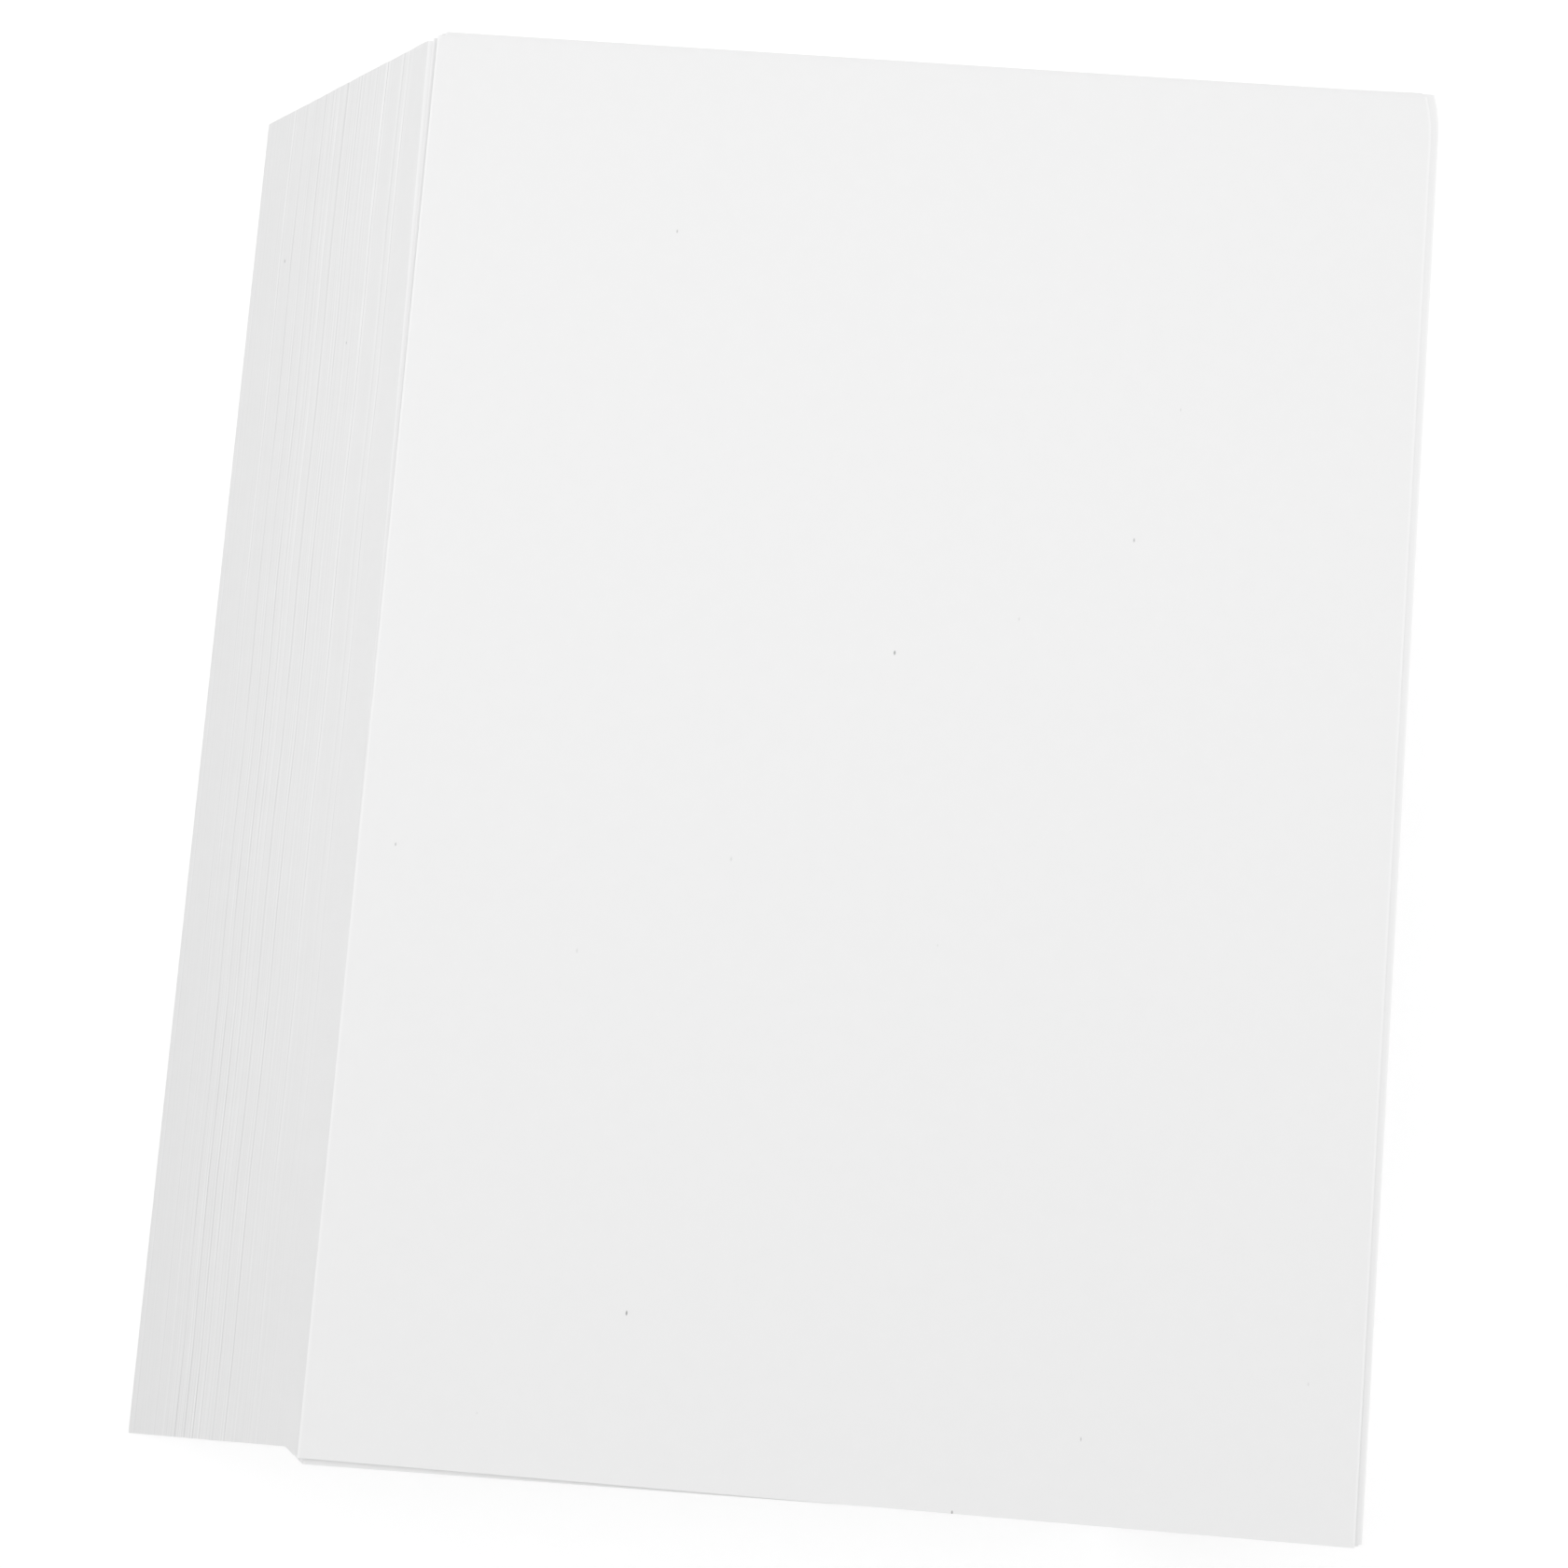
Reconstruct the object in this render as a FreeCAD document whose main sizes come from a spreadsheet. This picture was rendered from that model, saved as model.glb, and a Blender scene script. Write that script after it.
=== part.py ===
import FreeCAD, Part
import os
import Sketcher

# A ream of plain office paper, stood flat, that has slid over to its right.
# X runs along the short edge of a sheet, Y along the long edge and Z up.
# The origin is the middle of the lowest sheet's underside, which rests on the table.
# Sheets that slid together are one solid, with a step at the edge of every sheet in it.
# From its lowest sheet up, each bundle leans and turns evenly towards the bundle that lies on it.

OUT_DIR = "parts"

# Sizes in millimetres, turns in degrees.
SIZES = {
    "sheet_width": (210, "short edge of a sheet"),
    "sheet_length": (297, "long edge of a sheet"),
    "sheet_thick": (0.108, "one sheet"),
    "bundle_slip": (0.15, "how much further right each bundle slid than its lean asks for"),
    "pile_top_side": (47.05, "how far right of the lowest sheet the loose sheets lie"),
    "pile_top_far": (3.4, "how far behind the lowest sheet the loose sheets lie"),
    "pile_top_turn": (0.71, "turn of the sheet that the loose ones lie on"),
}

# How many sheets each bundle holds, how far right and back its lowest sheet lies, and that sheet's turn.
# The lower bundles lean by about a sheet's thickness a sheet. The upper ones lean half as much and fan out.
BUNDLES = {
    "lower_bundle_1": (111, 0, 0, 0),
    "lower_bundle_2": (28, 12.1, 1.8, 0.33),
    "lower_bundle_3": (25, 14.8, 2.05, 0.3),
    "lower_bundle_4": (41, 17.3, 2.3, 0.28),
    "lower_bundle_5": (18, 21.2, 2.65, 0.24),
    "lower_bundle_6": (40, 23.1, 2.85, 0.21),
    "lower_bundle_7": (73, 26.8, 3.1, 0.12),
    "lower_bundle_8": (40, 34.2, 3.8, 0.09),
    "lower_bundle_9": (44, 38.3, 4.3, 0.12),
    "upper_bundle_1": (38, 42.8, 4.85, 0.15),
    "upper_bundle_2": (37, 44.95, 4.15, 0.43),
}

# How far each loose sheet lies from the top of the bundles, to the right and to the back, and its turn.
LOOSE = {
    "loose_sheet_1": (-0.05, 0, 0.7),
    "loose_sheet_2": (0.2, 0.07, 0.39),
    "loose_sheet_3": (1.12, 0.52, 0.07),
    "loose_sheet_4": (1.87, 0.9, 0.045),
    "top_sheet": (0.36, 0.12, 0.09),
}


def make_sizes(doc):
    """Keep every driving size in one sheet of named cells."""
    sizes = doc.addObject("Spreadsheet::Sheet", "Sizes")
    cells = {name: value for name, (value, meaning) in SIZES.items()}
    for name, (count, side, far, turn) in BUNDLES.items():
        cells[name + "_count"] = count
        cells[name + "_side"] = side
        cells[name + "_far"] = far
        cells[name + "_turn"] = turn
    for name, (side, far, turn) in LOOSE.items():
        cells[name + "_side"] = side
        cells[name + "_far"] = far
        cells[name + "_turn"] = turn
    for row, (name, value) in enumerate(cells.items(), start=1):
        sizes.set("A%d" % row, name)
        sizes.set("B%d" % row, str(value))
        sizes.setAlias("B%d" % row, name)
    doc.recompute()
    return sizes


def place(thing, side, far, up):
    """Bind a sub-part's place to expressions: how far right, how far back and how high."""
    thing.setExpression("Placement.Base.x", side)
    thing.setExpression("Placement.Base.y", far)
    thing.setExpression("Placement.Base.z", up)


def height_of(below):
    """The height of everything that lies on the bundles named."""
    return " + ".join("Sizes.%s_count * Sizes.sheet_thick" % name for name in below) or "0"


def per_sheet(name, above, what, slip="0"):
    """How much a bundle's value changes with each sheet, on the way to what lies on it."""
    return "(Sizes.%s_%s - Sizes.%s_%s - %s) / Sizes.%s_count" % (above, what, name, what, slip, name)


def add_bundle(doc, sizes, name, above, below):
    """Sheets that slid together: thin boxes, each a step over and a little turned, fused to one solid."""
    side_step = per_sheet(name, above, "side", "Sizes.bundle_slip")
    far_step = per_sheet(name, above, "far")
    turn_step = per_sheet(name, above, "turn")
    sheets = []
    for index in range(int(sizes.get(name + "_count"))):
        side = "%d * %s" % (index, side_step)
        far = "%d * %s" % (index, far_step)
        turn = "(Sizes.%s_turn + %d * %s)" % (name, index, turn_step)
        # A box turns about its near left corner, so its middle stays where the step puts it.
        corner_side = "Sizes.sheet_width / 2 * cos%s - Sizes.sheet_length / 2 * sin%s" % (turn, turn)
        corner_far = "Sizes.sheet_width / 2 * sin%s + Sizes.sheet_length / 2 * cos%s" % (turn, turn)
        sheet = doc.addObject("Part::Box", "%s_sheet_%03d" % (name, index + 1))
        sheet.setExpression("Length", "Sizes.sheet_width")
        sheet.setExpression("Width", "Sizes.sheet_length")
        sheet.setExpression("Height", "Sizes.sheet_thick")
        sheet.setExpression("Placement.Rotation.Angle", turn)
        up = "%d * Sizes.sheet_thick" % index
        place(sheet, "%s - (%s)" % (side, corner_side), "%s - (%s)" % (far, corner_far), up)
        sheets.append(sheet)
    bundle = doc.addObject("Part::MultiFuse", name)
    bundle.Label = name
    bundle.Shapes = sheets
    bundle.Refine = False
    place(bundle, "Sizes.%s_side" % name, "Sizes.%s_far" % name, height_of(below))
    return bundle


def origin_plane(body, role):
    """One of a body's own origin planes."""
    return next(plane for plane in body.Origin.OriginFeatures if plane.Role == role)


def add_loose_sheet(doc, sizes, name, bundles, sheets_below):
    """A single sheet: a rectangle about its own middle, padded to the paper's thickness."""
    width = float(sizes.get("sheet_width"))
    length = float(sizes.get("sheet_length"))
    body = doc.addObject("PartDesign::Body", name)
    body.Label = name
    outline = body.newObject("Sketcher::SketchObject", name + "_outline")
    outline.AttachmentSupport = [(origin_plane(body, "XY_Plane"), "")]
    outline.MapMode = "FlatFace"
    corners = []
    for across, along in ((-0.5, -0.5), (0.5, -0.5), (0.5, 0.5), (-0.5, 0.5)):
        corners.append(FreeCAD.Vector(across * width, along * length, 0))
    for index, corner in enumerate(corners):
        outline.addGeometry(Part.LineSegment(corner, corners[(index + 1) % 4]), False)
    for index in range(4):
        outline.addConstraint(Sketcher.Constraint("Coincident", index, 2, (index + 1) % 4, 1))
    for index in (0, 2):
        outline.addConstraint(Sketcher.Constraint("Horizontal", index))
        outline.addConstraint(Sketcher.Constraint("Vertical", index + 1))
    # The near left and the far right corner lie opposite each other about the sheet's middle.
    outline.addConstraint(Sketcher.Constraint("Symmetric", 0, 1, 1, 2, -1, 1))
    across = outline.addConstraint(Sketcher.Constraint("DistanceX", 0, 1, 0, 2, width))
    along = outline.addConstraint(Sketcher.Constraint("DistanceY", 1, 1, 1, 2, length))
    outline.setExpression("Constraints[%d]" % across, "Sizes.sheet_width")
    outline.setExpression("Constraints[%d]" % along, "Sizes.sheet_length")
    paper = body.newObject("PartDesign::Pad", name + "_paper")
    paper.Profile = outline
    paper.setExpression("Length", "Sizes.sheet_thick")
    side = "Sizes.pile_top_side + Sizes.%s_side" % name
    far = "Sizes.pile_top_far + Sizes.%s_far" % name
    place(body, side, far, height_of(bundles) + " + %d * Sizes.sheet_thick" % sheets_below)
    body.setExpression("Placement.Rotation.Angle", "Sizes.%s_turn" % name)
    return body


def check(doc, parts):
    """Stop unless every object built and every sub-part is a sound solid."""
    for thing in doc.Objects:
        bad = [state for state in thing.State if state in ("Invalid", "Error")]
        if bad:
            raise RuntimeError("%s did not build: %s" % (thing.Name, bad))
    for part in parts:
        if part.Shape.isNull() or not part.Shape.isValid() or len(part.Shape.Solids) != 1:
            raise RuntimeError("%s is not one sound solid" % part.Label)


def write_parts(parts):
    os.makedirs(OUT_DIR, exist_ok=True)
    for part in parts:
        part.Shape.exportStep(os.path.join(OUT_DIR, part.Label + ".step"))
        box = part.Shape.BoundBox
        print("%-16s z %.3f to %.3f  volume %.1f" % (part.Label, box.ZMin, box.ZMax, part.Shape.Volume))


def main():
    doc = FreeCAD.newDocument("ream_of_paper")
    sizes = make_sizes(doc)
    bundles = list(BUNDLES)
    levels = bundles + ["pile_top"]
    parts = []
    for index, name in enumerate(bundles):
        parts.append(add_bundle(doc, sizes, name, levels[index + 1], bundles[:index]))
    for index, name in enumerate(LOOSE):
        parts.append(add_loose_sheet(doc, sizes, name, bundles, index))
    doc.recompute()
    check(doc, parts)
    write_parts(parts)


main()
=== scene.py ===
import math
import random

import bmesh
import bpy
from mathutils import Euler, Matrix, Vector


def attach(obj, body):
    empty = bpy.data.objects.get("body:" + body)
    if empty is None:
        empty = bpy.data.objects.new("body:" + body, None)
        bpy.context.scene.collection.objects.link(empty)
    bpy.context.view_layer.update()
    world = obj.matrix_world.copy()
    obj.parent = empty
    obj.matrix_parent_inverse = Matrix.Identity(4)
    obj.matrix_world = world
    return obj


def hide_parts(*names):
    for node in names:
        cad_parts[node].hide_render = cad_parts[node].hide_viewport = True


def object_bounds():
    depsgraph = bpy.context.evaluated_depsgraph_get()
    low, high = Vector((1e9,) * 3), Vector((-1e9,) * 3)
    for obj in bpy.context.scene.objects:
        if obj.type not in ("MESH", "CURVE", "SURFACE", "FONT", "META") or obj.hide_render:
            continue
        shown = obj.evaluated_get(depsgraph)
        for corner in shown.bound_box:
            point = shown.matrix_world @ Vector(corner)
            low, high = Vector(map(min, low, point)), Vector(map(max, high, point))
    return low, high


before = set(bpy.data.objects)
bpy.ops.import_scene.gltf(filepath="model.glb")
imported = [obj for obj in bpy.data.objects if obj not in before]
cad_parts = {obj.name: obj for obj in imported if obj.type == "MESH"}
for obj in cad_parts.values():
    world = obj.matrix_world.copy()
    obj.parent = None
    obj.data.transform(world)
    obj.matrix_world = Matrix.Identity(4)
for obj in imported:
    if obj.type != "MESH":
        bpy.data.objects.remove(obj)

bl_info = {
    "name": "Ream of office paper",
    "version": (1, 0, 0),
    "blender": (4, 5, 0),
    "location": "View3D > Sidebar > Ream",
    "description": "Lays the sheets of a leaning ream of plain office paper and gives them their finish",
    "category": "Add Mesh",
}

CAD_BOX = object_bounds()
BODY = "root"
SEED = 41
MM = 0.001

BUNDLE_NAMES = sorted(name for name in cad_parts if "bundle" in name)
LOOSE_NAMES = sorted(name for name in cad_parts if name.startswith("loose_sheet")) + ["top_sheet"]

# The two finishes of a sheet, in the order of a piece's material slots.
FACE, EDGE = 0, 1

# Corners of a node that lie closer in height than this, in metres, are on the same side of a sheet.
SAME_HEIGHT = 1e-6

# Squares across and along a sheet. The loose sheets bend, so their grid is finer.
BUNDLED_GRID = (1, 16)
LOOSE_GRID = (60, 96)

# Where the long edges' waves have a crest, from the near end in metres, and the share of the ream's height
# over which they grow to full size, from the bottom up and from the top down.
WAVE_CREST = 157.41 * MM
WAVE_GROWTH = 0.2

# A lifted edge rises and falls a little: the share of its lift that comes and goes, and the radians of that
# for each metre across and along the sheet and for each rank.
WAVER = 0.25
WAVER_ACROSS = 31.0
WAVER_ALONG = 23.0
WAVER_RANK = 2.0

# How quickly the lift grows towards the edge and with a sheet's rank, and how quickly the worn corner's
# wear grows along the right edge and towards it, as powers.
LIFT_POWER = 2
RANK_POWER = 3
WEAR_POWER = 2
CORNER_POWER = 8

# The painted highlight, a lighter strip along a loose sheet's long edges where they catch more light: full up
# to the first distance, gone at the second.
RIM_HIGHLIGHT_REACH = (0.15 * MM, 0.6 * MM)
RIM_HIGHLIGHT_SHARE = 0.7

# Share of the cells of the paper that hold a fleck, on the bundled sheets and on the loose ones.
BUNDLED_FLECKS = 0.025
LOOSE_FLECKS = 0.1

# Flecks: how many cells to a metre, their width as a share of their length, the size of the smallest and the
# largest as a share of a cell, how rare the dark ones are as a power, and how dark the faintest and the
# darkest one's middle is.
FLECK_CELLS = 62.0
FLECK_WIDTH = 0.45
FLECK_SIZES = (0.008, 0.022)
FLECK_RARITY = 3.0
FLECK_DEPTHS = (0.3, 2.4)
FLECK_TURNS = (math.radians(35), math.radians(-62))

# How high the paper's clouds stand up beside its fibres.
CLOUD_SWELL = 0.6

# How much lighter or darker the cut edges get by single sheets, by handfuls and by the knife's marks.
SHEET_TONE = 0.07
HANDFUL_TONE = 0.16
KNIFE_TONE = 0.05

# How much of a sheet's painted shade and highlight shows where it shows least and most, and the noise values
# that mark those.
PAINTED_SHADE_SHARES = (0.4, 1.6)
PAINTED_SHADE_NOISE = (0.3, 0.7)

# How brightly the lamp and the glow light the open floor, where 1 makes white paper white.
OPEN_LIGHT = 0.95

# Half the floor's side, and the distances from the ream's middle between which its shadows fade out to plain
# white, in metres.
FLOOR_HALF = 3.0
FLOOR_FADE = (0.35, 0.8)

# How steeply upwards a direction points, as the height of an arrow 1 long, where the glow starts to fade and
# where it is gone: about 33 and 46 degrees above the floor.
GLOW_FADE = (0.55, 0.72)

# Single sheets that moved: how many sheets lie below, then the slip of the near and of the far end in
# millimetres. A positive slip sets the sheets above back to the right, which leaves a wide step below
# a steep one. A negative slip leaves the sheets below sticking out to the left, steep below wide.
STRAYS = (
    (12, 0.03, 0.03),
    (61, 0.05, 0.02),
    (78, 0.00, 0.14),
    (110, 0.08, 0.05),
    (138, 0.10, 0.06),
    (163, 0.10, 0.05),
    (184, 0.04, 0.05),
    (193, 0.03, 0.06),
    (205, -0.04, -0.05),
    (222, 0.08, 0.05),
    (253, 0.03, 0.07),
    (262, 0.11, 0.06),
    (303, 0.00, 0.08),
    (330, 0.02, 0.20),
    (373, 0.00, 0.13),
    (387, 0.00, 0.14),
)


class ReamSizes(bpy.types.PropertyGroup):
    """How the sheets lie."""

    sheet_thick: bpy.props.FloatProperty(
        name="Sheet thickness", description="One sheet of office paper",
        default=0.108 * MM, unit="LENGTH", precision=6)
    air_share: bpy.props.FloatProperty(
        name="Air share", description="Part of a sheet's thickness left as air above it",
        default=0.06, subtype="FACTOR")
    stray_reach: bpy.props.FloatProperty(
        name="Stray reach", description="Sheets over which the slip of a stray sheet dies away", default=3.0)
    handful_slip: bpy.props.FloatProperty(
        name="Handful slip", description="How far a handful of sheets may lie to either side of its place",
        default=0.04 * MM, unit="LENGTH", precision=6)
    sheet_slip: bpy.props.FloatProperty(
        name="Sheet slip", description="How far a single sheet may lie from its neighbours",
        default=0.02 * MM, unit="LENGTH", precision=6)
    handful_least: bpy.props.IntProperty(
        name="Smallest handful", description="Fewest sheets that moved together", default=2)
    handful_most: bpy.props.IntProperty(
        name="Largest handful", description="Most sheets that moved together", default=9)
    loosest_sheet: bpy.props.IntProperty(
        name="Loosest sheet", description="Sheets below the place where they slipped about most", default=190)
    loose_spread: bpy.props.IntProperty(
        name="Loose spread", description="Sheets over which the slips grow smaller, up and down", default=140)
    least_loose: bpy.props.FloatProperty(
        name="Least slip", description="Share of the slips that is left far from the loosest sheet",
        default=0.12, subtype="FACTOR")
    # Painted shade and highlight: the slip of a sheet is compared with those of the sheets this far below and
    # above it.
    slip_shade_reach: bpy.props.IntProperty(
        name="Tone reach", description="Sheets below and above that a sheet's slip is compared with",
        default=4)
    wave_height: bpy.props.FloatProperty(
        name="Wave height", description="How far the long edges of the bundled sheets wave in and out",
        default=0.16 * MM, unit="LENGTH", precision=6)
    wave_length: bpy.props.FloatProperty(
        name="Wave length", description="From wave to wave along a long edge",
        default=71.0 * MM, unit="LENGTH")
    edge_lift: bpy.props.FloatProperty(
        name="Edge lift", description="How far the long edges of the topmost sheet stand up",
        default=0.12 * MM, unit="LENGTH", precision=6)
    lift_width: bpy.props.FloatProperty(
        name="Lift width", description="How far in from its long edges the topmost sheet stands up",
        default=4.0 * MM, unit="LENGTH")
    corner_wear: bpy.props.FloatProperty(
        name="Corner wear", description="How far the worn far right corner of the loose sheets is pushed in",
        default=1.3 * MM, unit="LENGTH", precision=6)
    wear_length: bpy.props.FloatProperty(
        name="Wear length", description="How far along the edge the worn corner reaches",
        default=9.0 * MM, unit="LENGTH")


class ReamColours(bpy.types.PropertyGroup):
    """The paper's colours, as linear values, and the painted highlight and shade on the sheets."""

    face: bpy.props.FloatVectorProperty(
        name="Face", description="Flat side of a sheet",
        default=(0.885, 0.885, 0.885), size=3, subtype="COLOR")
    edge: bpy.props.FloatVectorProperty(
        name="Edge", description="Cut edge of a sheet",
        default=(0.895, 0.895, 0.895), size=3, subtype="COLOR")
    fleck: bpy.props.FloatVectorProperty(
        name="Fleck", description="Dark speck of fibre in the paper",
        default=(0.42, 0.42, 0.42), size=3, subtype="COLOR")
    # Painted highlight: this colour lightens the strip along the long edges of a loose sheet, where the edges
    # catch more light.
    rim_highlight: bpy.props.FloatVectorProperty(
        name="Rim", description="Strip along the long edges of a loose sheet, where the knife raised fibres",
        default=(0.96, 0.96, 0.96), size=3, subtype="COLOR")
    # Painted shade and highlight: a sheet is painted lighter for each millimetre it sticks out and darker for
    # each it is set back, as the steps of the side are lit and shaded.
    slip_shade_gain: bpy.props.FloatProperty(
        name="Tone gain", description="How much lighter a sheet is for each millimetre that it sticks out",
        default=1.6)


class ReamStage(bpy.types.PropertyGroup):
    """Camera, lamp, glow and floor."""

    camera_place: bpy.props.FloatVectorProperty(
        name="Camera place", description="Where the camera stands above the ream",
        default=(57.7 * MM, -82.1 * MM, 664.7 * MM), size=3, subtype="TRANSLATION", unit="LENGTH")
    camera_turn: bpy.props.FloatVectorProperty(
        name="Camera turn", description="Camera's turn about X, Y and Z",
        default=tuple(math.radians(angle) for angle in (7.6185, 2.1174, 4.6586)), size=3, subtype="EULER")
    focal_length: bpy.props.FloatProperty(
        name="Focal length", description="Lens in millimetres on a 36 mm wide frame", default=69.27)
    lamp_place: bpy.props.FloatVectorProperty(
        name="Lamp place", description="Where the soft lamp hangs above the ream",
        default=(0.01, 0.14, 0.8), size=3, subtype="TRANSLATION", unit="LENGTH")
    lamp_size: bpy.props.FloatVectorProperty(
        name="Lamp size", description="Width and depth of the soft lamp",
        default=(1.1, 0.58), size=2, subtype="XYZ_LENGTH", unit="LENGTH")
    lamp_power: bpy.props.FloatProperty(
        name="Lamp power", description="Power of the soft lamp", default=3.2, subtype="POWER")
    glow_level: bpy.props.FloatProperty(
        name="Glow level", description="Brightness of the soft light from all round, low down", default=1.485)
    floor_colour: bpy.props.FloatVectorProperty(
        name="Floor", description="Pale floor, as the ream sees it",
        default=(0.9, 0.9, 0.9), size=3, subtype="COLOR")
    floor_white: bpy.props.FloatProperty(
        name="Floor white", description="Brightness of the open floor near the ream, as the camera sees it",
        default=1.09)
    shadow_depth: bpy.props.FloatProperty(
        name="Shadow depth", description="Share of the floor's brightness that shadows may take away",
        default=0.5, subtype="FACTOR")


def sizes():
    return bpy.context.scene.ream_sizes


def colours():
    return bpy.context.scene.ream_colours


def stage():
    return bpy.context.scene.ream_stage


def node_level(name, at_top):
    """Middle, turn, width and length of a node's lowest or highest sheet, from its corners."""
    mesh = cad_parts[name].data
    heights = [vertex.co.z for vertex in mesh.vertices]
    level = max(heights) if at_top else min(heights)
    flat = [vertex.co for vertex in mesh.vertices if abs(vertex.co.z - level) < SAME_HEIGHT]
    near_left = min(flat, key=lambda co: co.x + co.y)
    far_right = max(flat, key=lambda co: co.x + co.y)
    far_left = max(flat, key=lambda co: co.y - co.x)
    middle = (near_left + far_right) / 2
    along = far_left - near_left
    across = far_right - far_left
    turn = math.atan2(-along.x, along.y)
    return Vector((middle.x, middle.y, level)), turn, across.length, along.length


def add_sheet(bm, grid, width, length, shape, tone=Vector()):
    """One sheet: a grid with two sides and a cut edge, its own map in metres, bent by a shape function.

    The tone is painted shade and highlight: how much lighter or darker the sheet is painted at its near and
    its far end.
    """
    columns, rows = grid
    made = bmesh.ops.create_grid(bm, x_segments=columns, y_segments=rows, size=0.5)
    under = list({face for vertex in made["verts"] for face in vertex.link_faces})
    raised = bmesh.ops.extrude_face_region(bm, geom=under, use_keep_orig=True)
    upper = [item for item in raised["geom"] if isinstance(item, bmesh.types.BMVert)]
    bmesh.ops.translate(bm, verts=upper, vec=(0.0, 0.0, 1.0))
    bmesh.ops.reverse_faces(bm, faces=under)
    corners = made["verts"] + upper
    chart = bm.loops.layers.uv.verify()
    for face in {face for vertex in corners for face in vertex.link_faces}:
        heights = {round(vertex.co.z) for vertex in face.verts}
        face.material_index = FACE if len(heights) == 1 else EDGE
        for loop in face.loops:
            loop[chart].uv = ((loop.vert.co.x + 0.5) * width, (loop.vert.co.y + 0.5) * length)
    toned = bm.verts.layers.float["tone"]
    for vertex in corners:
        along = vertex.co.y + 0.5
        vertex[toned] = tone.x + (tone.y - tone.x) * along
        vertex.co = shape(vertex.co.x + 0.5, along, vertex.co.z)


def new_pile():
    """An empty mesh for sheets, with room for the painted shade and highlight of their slips."""
    bm = bmesh.new()
    bm.verts.layers.float.new("tone")
    return bm


def new_piece(name, bm, materials):
    """A finished mesh as a piece of the object, which rides with the ream."""
    mesh = bpy.data.meshes.new(name)
    bm.to_mesh(mesh)
    bm.free()
    piece = bpy.data.objects.new(name, mesh)
    bpy.context.scene.collection.objects.link(piece)
    for material in materials:
        mesh.materials.append(material)
    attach(piece, BODY)
    return piece


def node_with(tree, kind, **values):
    """Add a shader node and set its named inputs."""
    node = tree.nodes.new(kind)
    for name, value in values.items():
        node.inputs[name.replace("_", " ")].default_value = value
    return node


def math_node(tree, operation, first, second=None, clamp=False):
    """A Math node on sockets or plain numbers."""
    node = tree.nodes.new("ShaderNodeMath")
    node.operation = operation
    node.use_clamp = clamp
    for index, value in enumerate((first, second)):
        if isinstance(value, (int, float)):
            node.inputs[index].default_value = value
        elif value is not None:
            tree.links.new(value, node.inputs[index])
    return node.outputs[0]


def ramp_node(tree, value, start, end, at_start, at_end):
    """A Map Range node: a value between start and end, clamped, becomes one between two others."""
    node = node_with(
        tree, "ShaderNodeMapRange", From_Min=start, From_Max=end, To_Min=at_start, To_Max=at_end)
    tree.links.new(value, node.inputs["Value"])
    return node.outputs["Result"]


def swing_node(tree, noise, gain):
    """How far a noise lies above or below its middle, times a gain."""
    return math_node(tree, "MULTIPLY", math_node(tree, "SUBTRACT", noise, 0.5), gain)


def blend_node(tree, factor, first, second):
    """A colour Mix node: the first colour where the factor is 0, the second where it is 1."""
    node = tree.nodes.new("ShaderNodeMix")
    node.data_type = "RGBA"
    tree.links.new(factor, node.inputs["Factor"])
    for socket, colour in ((node.inputs[6], first), (node.inputs[7], second)):
        if isinstance(colour, bpy.types.NodeSocket):
            tree.links.new(colour, socket)
        else:
            socket.default_value = (*colour, 1.0)
    return node.outputs[2]


def scale_colour(tree, colour, gain):
    """Make a colour lighter or darker by a factor."""
    node = tree.nodes.new("ShaderNodeVectorMath")
    node.operation = "SCALE"
    tree.links.new(colour, node.inputs[0])
    tree.links.new(gain, node.inputs["Scale"])
    return node.outputs["Vector"]


def seen_rays(tree):
    """1 for the rays that show a thing to the camera, straight or by way of gloss and glass, and else 0."""
    rays = tree.nodes.new("ShaderNodeLightPath")
    seen = math_node(tree, "MAXIMUM", rays.outputs["Is Camera Ray"], rays.outputs["Is Glossy Ray"])
    return math_node(tree, "MAXIMUM", seen, rays.outputs["Is Transmission Ray"])


def fleck_layer(tree, place, turn, share):
    """Rare short fibres that all lie about one way: how strongly one shows at each place."""
    stretch = tree.nodes.new("ShaderNodeMapping")
    stretch.inputs["Rotation"].default_value = (0.0, 0.0, turn)
    stretch.inputs["Scale"].default_value = (1.0, FLECK_WIDTH, 1.0)
    tree.links.new(place, stretch.inputs["Vector"])
    cells = node_with(tree, "ShaderNodeTexVoronoi", Scale=FLECK_CELLS, Randomness=1.0)
    cells.voronoi_dimensions = "2D"
    tree.links.new(stretch.outputs["Vector"], cells.inputs["Vector"])
    chance = tree.nodes.new("ShaderNodeSeparateColor")
    tree.links.new(cells.outputs["Color"], chance.inputs["Color"])
    chosen = math_node(tree, "LESS_THAN", chance.outputs["Red"], share)
    reach = ramp_node(tree, chance.outputs["Green"], 0.0, 1.0, *FLECK_SIZES)
    out = math_node(tree, "DIVIDE", cells.outputs["Distance"], reach)
    dark = math_node(tree, "SUBTRACT", 1.0, out, clamp=True)
    # Most fibres are faint and a few are dark.
    rare = math_node(tree, "POWER", chance.outputs["Blue"], FLECK_RARITY)
    strength = math_node(tree, "MULTIPLY", dark, ramp_node(tree, rare, 0.0, 1.0, *FLECK_DEPTHS))
    return math_node(tree, "MULTIPLY", chosen, strength, clamp=True)


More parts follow.
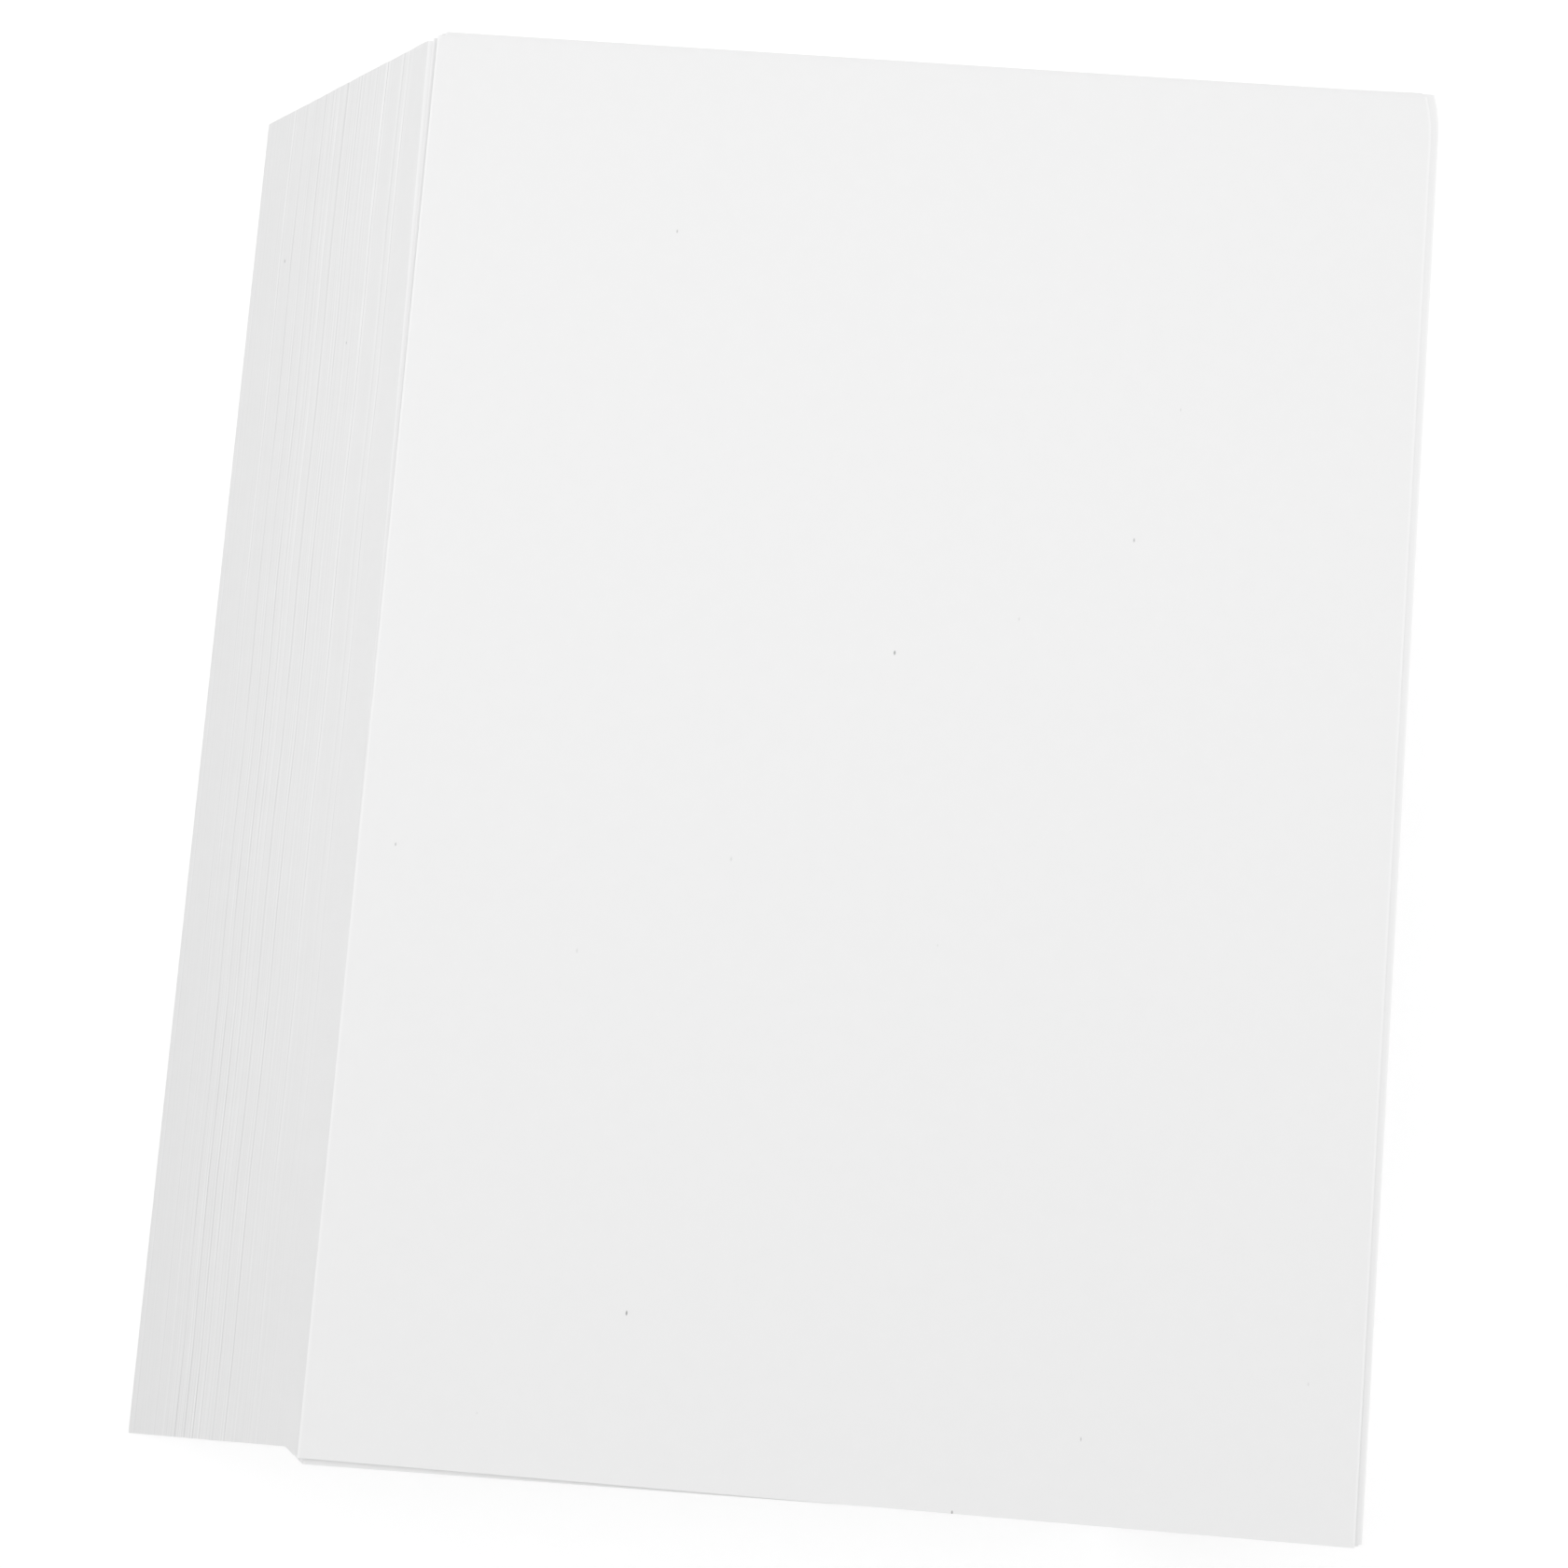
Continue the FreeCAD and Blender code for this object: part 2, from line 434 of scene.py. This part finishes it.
def paper_grain_group():
    """Tone and height of uncoated paper: fibre grain, cloudy mottling and rare dark flecks."""
    group = bpy.data.node_groups.get("paper_grain")
    if group:
        return group
    group = bpy.data.node_groups.new("paper_grain", "ShaderNodeTree")
    face = group.interface
    face.new_socket(name="Place", in_out="INPUT", socket_type="NodeSocketVector")
    face.new_socket(name="Colour", in_out="INPUT", socket_type="NodeSocketColor")
    face.new_socket(name="Fleck Colour", in_out="INPUT", socket_type="NodeSocketColor")
    for name, default in (("Mottle", 0.02), ("Grain", 0.012), ("Fleck Share", 0.1)):
        socket = face.new_socket(name=name, in_out="INPUT", socket_type="NodeSocketFloat")
        socket.default_value = default
    face.new_socket(name="Colour", in_out="OUTPUT", socket_type="NodeSocketColor")
    face.new_socket(name="Height", in_out="OUTPUT", socket_type="NodeSocketFloat")
    given = group.nodes.new("NodeGroupInput")
    result = group.nodes.new("NodeGroupOutput")
    place = given.outputs["Place"]

    # Clouds a few millimetres wide, where the fibres lie thicker or thinner.
    clouds = node_with(group, "ShaderNodeTexNoise", Scale=220.0, Detail=4.0, Roughness=0.6)
    group.links.new(place, clouds.inputs["Vector"])
    # Fibres, a fraction of a millimetre wide.
    fibres = node_with(group, "ShaderNodeTexNoise", Scale=2600.0, Detail=3.0, Roughness=0.7)
    group.links.new(place, fibres.inputs["Vector"])

    cloudy = swing_node(group, clouds.outputs["Fac"], given.outputs["Mottle"])
    grainy = swing_node(group, fibres.outputs["Fac"], given.outputs["Grain"])
    gain = math_node(group, "ADD", math_node(group, "ADD", cloudy, grainy), 1.0)
    toned = scale_colour(group, given.outputs["Colour"], gain)

    flecks = [fleck_layer(group, place, turn, given.outputs["Fleck Share"]) for turn in FLECK_TURNS]
    fleck = math_node(group, "MAXIMUM", *flecks)
    spotted = blend_node(group, fleck, toned, given.outputs["Fleck Colour"])
    group.links.new(spotted, result.inputs["Colour"])

    swelling = math_node(group, "MULTIPLY", clouds.outputs["Fac"], CLOUD_SWELL)
    height = math_node(group, "ADD", fibres.outputs["Fac"], swelling)
    group.links.new(height, result.inputs["Height"])
    return group


def painted_slip_shade_group():
    """Painted shade and highlight of each sheet among its neighbours, from its slip, which comes and goes
    along the sheet.
    """
    group = bpy.data.node_groups.get("painted_slip_shade")
    if group:
        return group
    group = bpy.data.node_groups.new("painted_slip_shade", "ShaderNodeTree")
    face = group.interface
    face.new_socket(name="Place", in_out="INPUT", socket_type="NodeSocketVector")
    face.new_socket(name="Tone", in_out="INPUT", socket_type="NodeSocketFloat")
    face.new_socket(name="Colour", in_out="INPUT", socket_type="NodeSocketColor")
    face.new_socket(name="Colour", in_out="OUTPUT", socket_type="NodeSocketColor")
    given = group.nodes.new("NodeGroupInput")
    result = group.nodes.new("NodeGroupOutput")
    # Long thin patches where the painted shade and highlight shows more or less: about three sheets high and
    # a few centimetres long.
    stretch = group.nodes.new("ShaderNodeMapping")
    stretch.inputs["Scale"].default_value = (0.0, 0.05, 3.0)
    group.links.new(given.outputs["Place"], stretch.inputs["Vector"])
    patches = node_with(group, "ShaderNodeTexNoise", Scale=900.0, Detail=2.0, Roughness=0.5)
    group.links.new(stretch.outputs["Vector"], patches.inputs["Vector"])
    share = ramp_node(group, patches.outputs["Fac"], *PAINTED_SHADE_NOISE, *PAINTED_SHADE_SHARES)
    gain = math_node(group, "ADD", math_node(group, "MULTIPLY", given.outputs["Tone"], share), 1.0)
    group.links.new(scale_colour(group, given.outputs["Colour"], gain), result.inputs["Colour"])
    return group


def paint_slip_shade(tree, colour):
    """Paint the shade and highlight that each sheet's slip carries into a material's colour."""
    place = tree.nodes.new("ShaderNodeTexCoord")
    tone = tree.nodes.new("ShaderNodeAttribute")
    tone.attribute_name = "tone"
    layer = tree.nodes.new("ShaderNodeGroup")
    layer.node_tree = painted_slip_shade_group()
    tree.links.new(place.outputs["Object"], layer.inputs["Place"])
    tree.links.new(tone.outputs["Fac"], layer.inputs["Tone"])
    tree.links.new(colour, layer.inputs["Colour"])
    return layer.outputs["Colour"]


def start_material(name, colour, mottle, grain, fleck_share, bump):
    """Matt uncoated paper, its grain in place: the tree, its shader and the grain's colour are given back."""
    material = bpy.data.materials.new(name)
    material.use_nodes = True
    tree = material.node_tree
    shader = tree.nodes["Principled BSDF"]
    shader.inputs["Roughness"].default_value = 0.92
    shader.inputs["Specular IOR Level"].default_value = 0.2
    place = tree.nodes.new("ShaderNodeTexCoord")
    layer = tree.nodes.new("ShaderNodeGroup")
    layer.node_tree = paper_grain_group()
    layer.inputs["Colour"].default_value = (*colour, 1.0)
    layer.inputs["Fleck Colour"].default_value = (*colours().fleck, 1.0)
    layer.inputs["Mottle"].default_value = mottle
    layer.inputs["Grain"].default_value = grain
    layer.inputs["Fleck Share"].default_value = fleck_share
    tree.links.new(place.outputs["Object"], layer.inputs["Place"])
    bumps = node_with(tree, "ShaderNodeBump", Strength=bump, Distance=0.02 * MM)
    tree.links.new(layer.outputs["Height"], bumps.inputs["Height"])
    tree.links.new(bumps.outputs["Normal"], shader.inputs["Normal"])
    return material, tree, shader, layer.outputs["Colour"]


def face_material(name, fleck_share, width=0.0):
    """Flat side of a sheet. Where its width is given, a strip along its long edges is a little lighter, a
    painted highlight; else the sheet carries the painted shade and highlight of its slip.
    """
    material, tree, shader, colour = start_material(
        name, colours().face, mottle=0.02, grain=0.012, fleck_share=fleck_share, bump=0.25)
    if width:
        chart = tree.nodes.new("ShaderNodeUVMap")
        parts = tree.nodes.new("ShaderNodeSeparateXYZ")
        tree.links.new(chart.outputs["UV"], parts.inputs["Vector"])
        across = parts.outputs["X"]
        gap = math_node(tree, "MINIMUM", across, math_node(tree, "SUBTRACT", width, across))
        # Painted highlight along the long edges.
        colour = blend_node(tree, ramp_node(tree, gap, *RIM_HIGHLIGHT_REACH, RIM_HIGHLIGHT_SHARE, 0.0), colour, colours().rim_highlight)
    else:
        # Painted shade and highlight of each sheet's slip.
        colour = paint_slip_shade(tree, colour)
    tree.links.new(colour, shader.inputs["Base Color"])
    return material


def edge_material(name):
    """Cut edges of the stacked sheets: each has its own tone, the knife left faint upright marks, and each
    sheet's slip adds painted shade and highlight.
    """
    material, tree, shader, colour = start_material(
        name, colours().edge, mottle=0.02, grain=0.02, fleck_share=0.0, bump=0.2)
    place = tree.nodes.new("ShaderNodeTexCoord")
    parts = tree.nodes.new("ShaderNodeSeparateXYZ")
    tree.links.new(place.outputs["Object"], parts.inputs["Vector"])
    count = math_node(tree, "FLOOR", math_node(tree, "DIVIDE", parts.outputs["Z"], sizes().sheet_thick))

    # Tone of single sheets and of handfuls of them, by their number in the stack.
    lone = tree.nodes.new("ShaderNodeTexWhiteNoise")
    lone.noise_dimensions = "1D"
    tree.links.new(count, lone.inputs["W"])
    together = node_with(tree, "ShaderNodeTexNoise", Scale=0.21, Detail=3.0, Roughness=0.75)
    together.noise_dimensions = "1D"
    tree.links.new(count, together.inputs["W"])
    single = swing_node(tree, lone.outputs["Value"], SHEET_TONE)
    handful = swing_node(tree, together.outputs["Fac"], HANDFUL_TONE)

    # Knife marks, the same on every sheet, from the sheet's own map.
    chart = tree.nodes.new("ShaderNodeUVMap")
    marks = node_with(tree, "ShaderNodeTexNoise", Scale=420.0, Detail=2.0, Roughness=0.6)
    tree.links.new(chart.outputs["UV"], marks.inputs["Vector"])
    knife = swing_node(tree, marks.outputs["Fac"], KNIFE_TONE)
    stacked = math_node(tree, "ADD", single, handful)
    gain = math_node(tree, "ADD", stacked, math_node(tree, "ADD", knife, 1.0))
    # The painted shade and highlight of each sheet's slip goes on top.
    colour = paint_slip_shade(tree, scale_colour(tree, colour, gain))
    tree.links.new(colour, shader.inputs["Base Color"])
    return material


def looseness(number):
    """How freely a sheet slipped, from 0 to 1, by how many sheets lie below it."""
    away = (number - sizes().loosest_sheet) / sizes().loose_spread
    least = sizes().least_loose
    return least + (1.0 - least) * math.exp(-away * away)


def stray_slip(number):
    """How far the stray sheets near this one take its near and its far end to the right."""
    near, far = 0.0, 0.0
    for below, near_slip, far_slip in STRAYS:
        sets_back = near_slip + far_slip > 0
        away = number - below if sets_back else below - 1 - number
        if away >= 0:
            left = math.exp(-away / sizes().stray_reach) * MM
            near += near_slip * left
            far += far_slip * left
    return near, far


def stack_slips(count, luck):
    """Slips to the right at the near and the far end, and to the back, for every sheet from the lowest up."""
    slips = []
    while len(slips) < count:
        together = Vector(luck.uniform(-1, 1) for _ in range(3)) * sizes().handful_slip
        # The two ends of a handful mostly slip the same way.
        together.y = (together.x + together.y) / 2
        for _ in range(luck.randint(sizes().handful_least, sizes().handful_most)):
            alone = Vector(luck.uniform(-1, 1) for _ in range(3)) * sizes().sheet_slip
            number = len(slips)
            slips.append((together + alone) * looseness(number) + Vector((*stray_slip(number), 0.0)))
    return slips[:count]


def painted_slip_shade(slips):
    """Painted shade and highlight of every sheet's near and far end: lighter where it sticks out, darker
    where it is set back, as the steps are lit and shaded.
    """
    tones = []
    for number, slip in enumerate(slips):
        around = slips[max(0, number - sizes().slip_shade_reach):number + sizes().slip_shade_reach + 1]
        middle = sum(around, Vector()) / len(around)
        tones.append((middle - slip) / MM * colours().slip_shade_gain)
    return tones


def edge_wave(along, height):
    """How far a long edge waves out at a place along it: not at all in the lowest and topmost sheets."""
    top = CAD_BOX[1][2]
    growth = WAVE_GROWTH * top
    grown = min(1.0, height / growth, max(0.0, (top - height) / growth))
    return math.cos((along - WAVE_CREST) * math.tau / sizes().wave_length) * sizes().wave_height * grown


def lay_bundle(name, slips, tones):
    """Every sheet of a bundle, from its lowest sheet's place evenly to its highest one's."""
    low, low_turn, width, length = node_level(name, False)
    high, high_turn, _, _ = node_level(name, True)
    thick = sizes().sheet_thick
    count = round((high.z - low.z) / thick)
    body = thick * (1.0 - sizes().air_share)
    below = round(low.z / thick)
    bm = new_pile()
    for index in range(count):
        share = index / (count - 1)
        near, far, ahead = slips[below + index]
        middle = low.lerp(high, share)
        middle.y += ahead
        middle.z = low.z + thick * index
        turn = low_turn + (high_turn - low_turn) * share
        place = Matrix.Translation(middle) @ Matrix.Rotation(turn, 4, "Z")

        def shape(across, along, up):
            side = (across - 0.5) * width + near + (far - near) * along + edge_wave(along * length, middle.z)
            return place @ Vector((side, (along - 0.5) * length, up * body))

        add_sheet(bm, BUNDLED_GRID, width, length, shape, tones[below + index])
    return bm


def lay_loose(name, rank):
    """A loose sheet as a fine grid; a higher rank lies higher and its long edges lift more."""
    low, turn, width, length = node_level(name, False)
    body = sizes().sheet_thick * (1.0 - sizes().air_share)
    place = Matrix.Translation(low) @ Matrix.Rotation(turn, 4, "Z")
    bm = new_pile()

    def shape(across, along, up):
        side, ahead = across * width, along * length
        # The long edges stand up, the right one less and less towards the far end.
        gap = min(side, width - side)
        rise = max(0.0, 1.0 - gap / sizes().lift_width) ** LIFT_POWER * (1.0 - across * along)
        phase = side * WAVER_ACROSS + ahead * WAVER_ALONG + rank * WAVER_RANK
        wave = 1.0 - WAVER + WAVER * math.sin(phase)
        worn = max(0.0, 1.0 - (length - ahead) / sizes().wear_length) ** WEAR_POWER * across ** CORNER_POWER
        level = up * body + rise * wave * rank ** RANK_POWER * sizes().edge_lift
        return place @ Vector((side - width / 2 - worn * sizes().corner_wear, ahead - length / 2, level))

    add_sheet(bm, LOOSE_GRID, width, length, shape)
    return bm


class REAM_OT_bundles(bpy.types.Operator):
    """Lay the sheets of every bundle one on the other, each a little out of line"""

    bl_idname = "ream.bundles"
    bl_label = "Bundled sheets"

    def execute(self, context):
        materials = (face_material("bundled_face", BUNDLED_FLECKS), edge_material("sheet_edges"))
        top, _, _, _ = node_level(BUNDLE_NAMES[-1], True)
        slips = stack_slips(round(top.z / sizes().sheet_thick), random.Random(SEED))
        # Painted shade and highlight, from how far each sheet sticks out or is set back.
        tones = painted_slip_shade(slips)
        for name in BUNDLE_NAMES:
            piece = new_piece(name + "_sheets", lay_bundle(name, slips, tones), materials)
            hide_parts(name)
        return {"FINISHED"}


class REAM_OT_loose_sheets(bpy.types.Operator):
    """Lay the loose sheets on top, with the slight lift of their long edges"""

    bl_idname = "ream.loose_sheets"
    bl_label = "Loose sheets"

    def execute(self, context):
        _, _, width, _ = node_level(LOOSE_NAMES[0], False)
        materials = (face_material("sheet_face", LOOSE_FLECKS, width), edge_material("loose_edges"))
        for index, name in enumerate(LOOSE_NAMES):
            rank = index / (len(LOOSE_NAMES) - 1)
            piece = new_piece(name + "_paper", lay_loose(name, rank), materials)
            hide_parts(name)
        return {"FINISHED"}


class REAM_OT_stage(bpy.types.Operator):
    """Set the floor, the soft light and the camera"""

    bl_idname = "ream.stage"
    bl_label = "Floor, light and camera"

    def execute(self, context):
        scene = context.scene
        scene.view_settings.view_transform = "Standard"
        self.add_floor(scene)
        self.add_world(scene)
        self.add_lamp(scene)
        self.add_camera(scene)
        return {"FINISHED"}

    def add_floor(self, scene):
        """A plain floor that keeps the shadow: white to the camera where nothing shades it."""
        bm = bmesh.new()
        bmesh.ops.create_grid(bm, x_segments=1, y_segments=1, size=FLOOR_HALF)
        mesh = bpy.data.meshes.new("floor")
        bm.to_mesh(mesh)
        bm.free()
        floor = bpy.data.objects.new("floor", mesh)
        scene.collection.objects.link(floor)
        material = bpy.data.materials.new("floor_white")
        material.use_nodes = True
        tree = material.node_tree
        shader = tree.nodes["Principled BSDF"]
        shader.inputs["Base Color"].default_value = (*stage().floor_colour, 1.0)
        shader.inputs["Roughness"].default_value = 1.0
        shader.inputs["Specular IOR Level"].default_value = 0.0
        # The camera sees a faint shadow on a white that glows by itself, and further out only the white.
        depth = stage().shadow_depth
        shade = node_with(tree, "ShaderNodeBsdfDiffuse", Color=(depth, depth, depth, 1.0))
        glow = node_with(tree, "ShaderNodeEmission", Strength=stage().floor_white - OPEN_LIGHT * depth)
        white = node_with(tree, "ShaderNodeEmission", Strength=1.0)
        place = tree.nodes.new("ShaderNodeTexCoord")
        away = tree.nodes.new("ShaderNodeVectorMath")
        away.operation = "LENGTH"
        tree.links.new(place.outputs["Object"], away.inputs[0])
        fade = tree.nodes.new("ShaderNodeMixShader")
        tree.links.new(ramp_node(tree, away.outputs["Value"], *FLOOR_FADE, 0.0, 1.0), fade.inputs["Fac"])
        both = tree.nodes.new("ShaderNodeAddShader")
        pick = tree.nodes.new("ShaderNodeMixShader")
        tree.links.new(shade.outputs["BSDF"], both.inputs[0])
        tree.links.new(glow.outputs["Emission"], both.inputs[1])
        tree.links.new(seen_rays(tree), pick.inputs["Fac"])
        tree.links.new(shader.outputs["BSDF"], pick.inputs[1])
        tree.links.new(both.outputs["Shader"], fade.inputs[1])
        tree.links.new(white.outputs["Emission"], fade.inputs[2])
        tree.links.new(fade.outputs["Shader"], pick.inputs[2])
        tree.links.new(pick.outputs["Shader"], tree.nodes["Material Output"].inputs["Surface"])
        mesh.materials.append(material)

    def add_world(self, scene):
        """Soft light that glows low all round, as from pale walls; the camera and mirrors see plain white."""
        world = bpy.data.worlds.new("soft_white")
        scene.world = world
        world.use_nodes = True
        tree = world.node_tree
        light = tree.nodes["Background"]
        light.inputs["Color"].default_value = (1.0, 1.0, 1.0, 1.0)
        way = tree.nodes.new("ShaderNodeTexCoord")
        parts = tree.nodes.new("ShaderNodeSeparateXYZ")
        tree.links.new(way.outputs["Generated"], parts.inputs["Vector"])
        strength = ramp_node(tree, parts.outputs["Z"], *GLOW_FADE, stage().glow_level, 0.0)
        tree.links.new(strength, light.inputs["Strength"])
        white = node_with(tree, "ShaderNodeBackground", Color=(1.0, 1.0, 1.0, 1.0), Strength=1.0)
        pick = tree.nodes.new("ShaderNodeMixShader")
        tree.links.new(seen_rays(tree), pick.inputs["Fac"])
        tree.links.new(light.outputs["Background"], pick.inputs[1])
        tree.links.new(white.outputs["Background"], pick.inputs[2])
        tree.links.new(pick.outputs["Shader"], tree.nodes["World Output"].inputs["Surface"])

    def add_lamp(self, scene):
        """One large lamp above the middle and the far end, so the near end is a little darker."""
        light = bpy.data.lights.new("soft_lamp", "AREA")
        light.shape = "RECTANGLE"
        light.size, light.size_y = stage().lamp_size
        light.energy = stage().lamp_power
        lamp = bpy.data.objects.new("soft_lamp", light)
        lamp.location = stage().lamp_place
        scene.collection.objects.link(lamp)

    def add_camera(self, scene):
        """Nearly straight above the ream, leaning a little, as the photograph was taken."""
        data = bpy.data.cameras.new("camera")
        data.sensor_width = 36.0
        data.lens = stage().focal_length
        data.clip_start = 0.01
        camera = bpy.data.objects.new("camera", data)
        camera.location = stage().camera_place
        camera.rotation_euler = Euler(stage().camera_turn)
        scene.collection.objects.link(camera)
        scene.camera = camera


class REAM_PT_panel(bpy.types.Panel):
    """Buttons and settings for the ream"""

    bl_label = "Ream of paper"
    bl_idname = "REAM_PT_panel"
    bl_space_type = "VIEW_3D"
    bl_region_type = "UI"
    bl_category = "Ream"

    def draw(self, context):
        for group in (context.scene.ream_sizes, context.scene.ream_colours, context.scene.ream_stage):
            box = self.layout.box()
            for name in group.bl_rna.properties.keys():
                if name not in ("rna_type", "name"):
                    box.prop(group, name)
        for operator in (REAM_OT_bundles, REAM_OT_loose_sheets, REAM_OT_stage):
            self.layout.operator(operator.bl_idname)


GROUPS = {"ream_sizes": ReamSizes, "ream_colours": ReamColours, "ream_stage": ReamStage}
CLASSES = (*GROUPS.values(), REAM_OT_bundles, REAM_OT_loose_sheets, REAM_OT_stage, REAM_PT_panel)


def register():
    for item in CLASSES:
        bpy.utils.register_class(item)
    for name, group in GROUPS.items():
        setattr(bpy.types.Scene, name, bpy.props.PointerProperty(type=group))


def unregister():
    for name in GROUPS:
        delattr(bpy.types.Scene, name)
    for item in reversed(CLASSES):
        bpy.utils.unregister_class(item)


def main():
    register()
    bpy.ops.ream.bundles()
    bpy.ops.ream.loose_sheets()
    bpy.ops.ream.stage()


if __name__ == "__main__":
    main()
